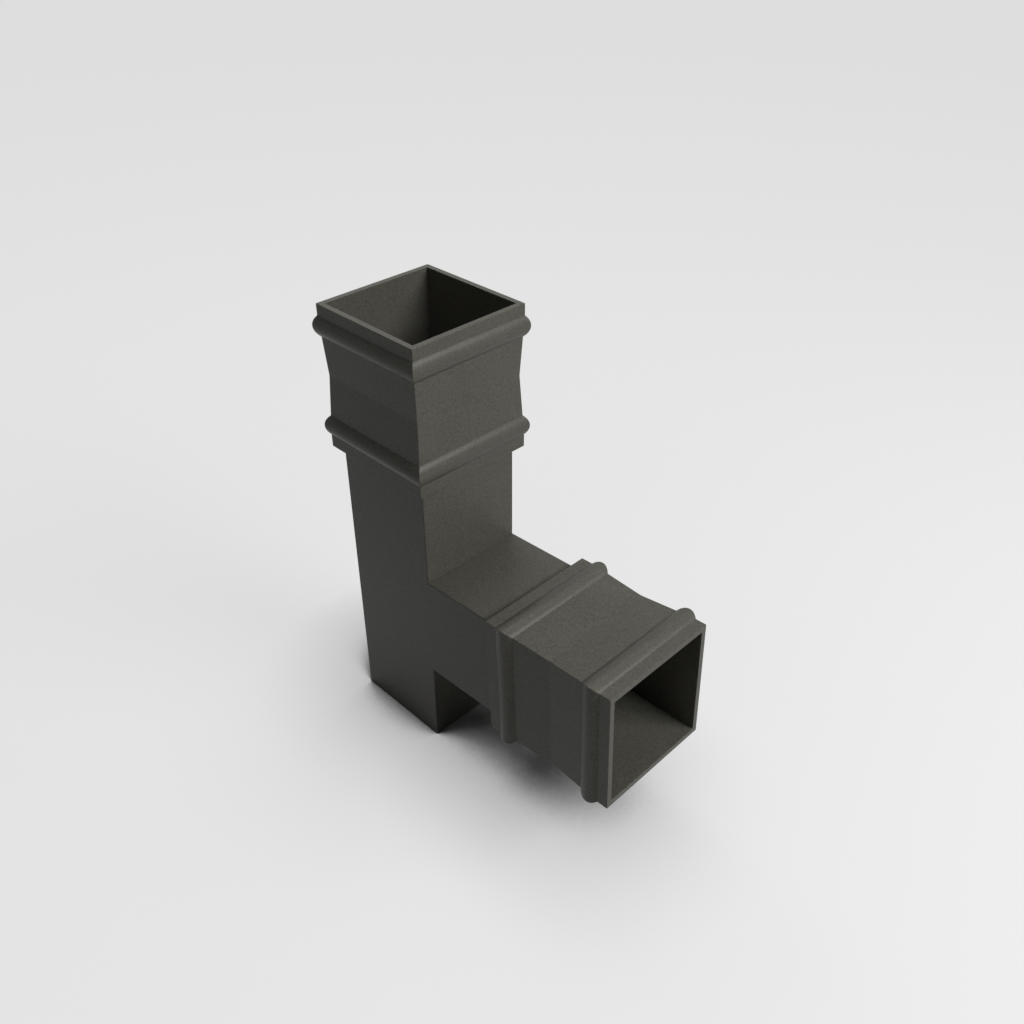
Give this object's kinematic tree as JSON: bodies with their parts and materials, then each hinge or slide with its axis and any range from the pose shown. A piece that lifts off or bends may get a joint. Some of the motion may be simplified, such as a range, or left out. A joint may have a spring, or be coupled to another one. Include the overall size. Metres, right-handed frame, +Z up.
{
  "type": "downpipe branch",
  "caption": "Square rainwater downpipe branch casting with a plain spigot foot, a moulded head socket and a side arm that rises gently to a matching moulded socket.",
  "frame": {"origin": "centre of the open end of the spigot, at the foot of the main pipe", "axes": "+Z up the main pipe to the head socket, +X out over the side arm, +Y across both"},
  "size_m": [0.2421, 0.0914, 0.3047],
  "materials": {
    "coated_casting": "matte"
  },
  "bodies": {
    "root": {"branch_casting": "coated_casting"}
  },
  "joints": []
}
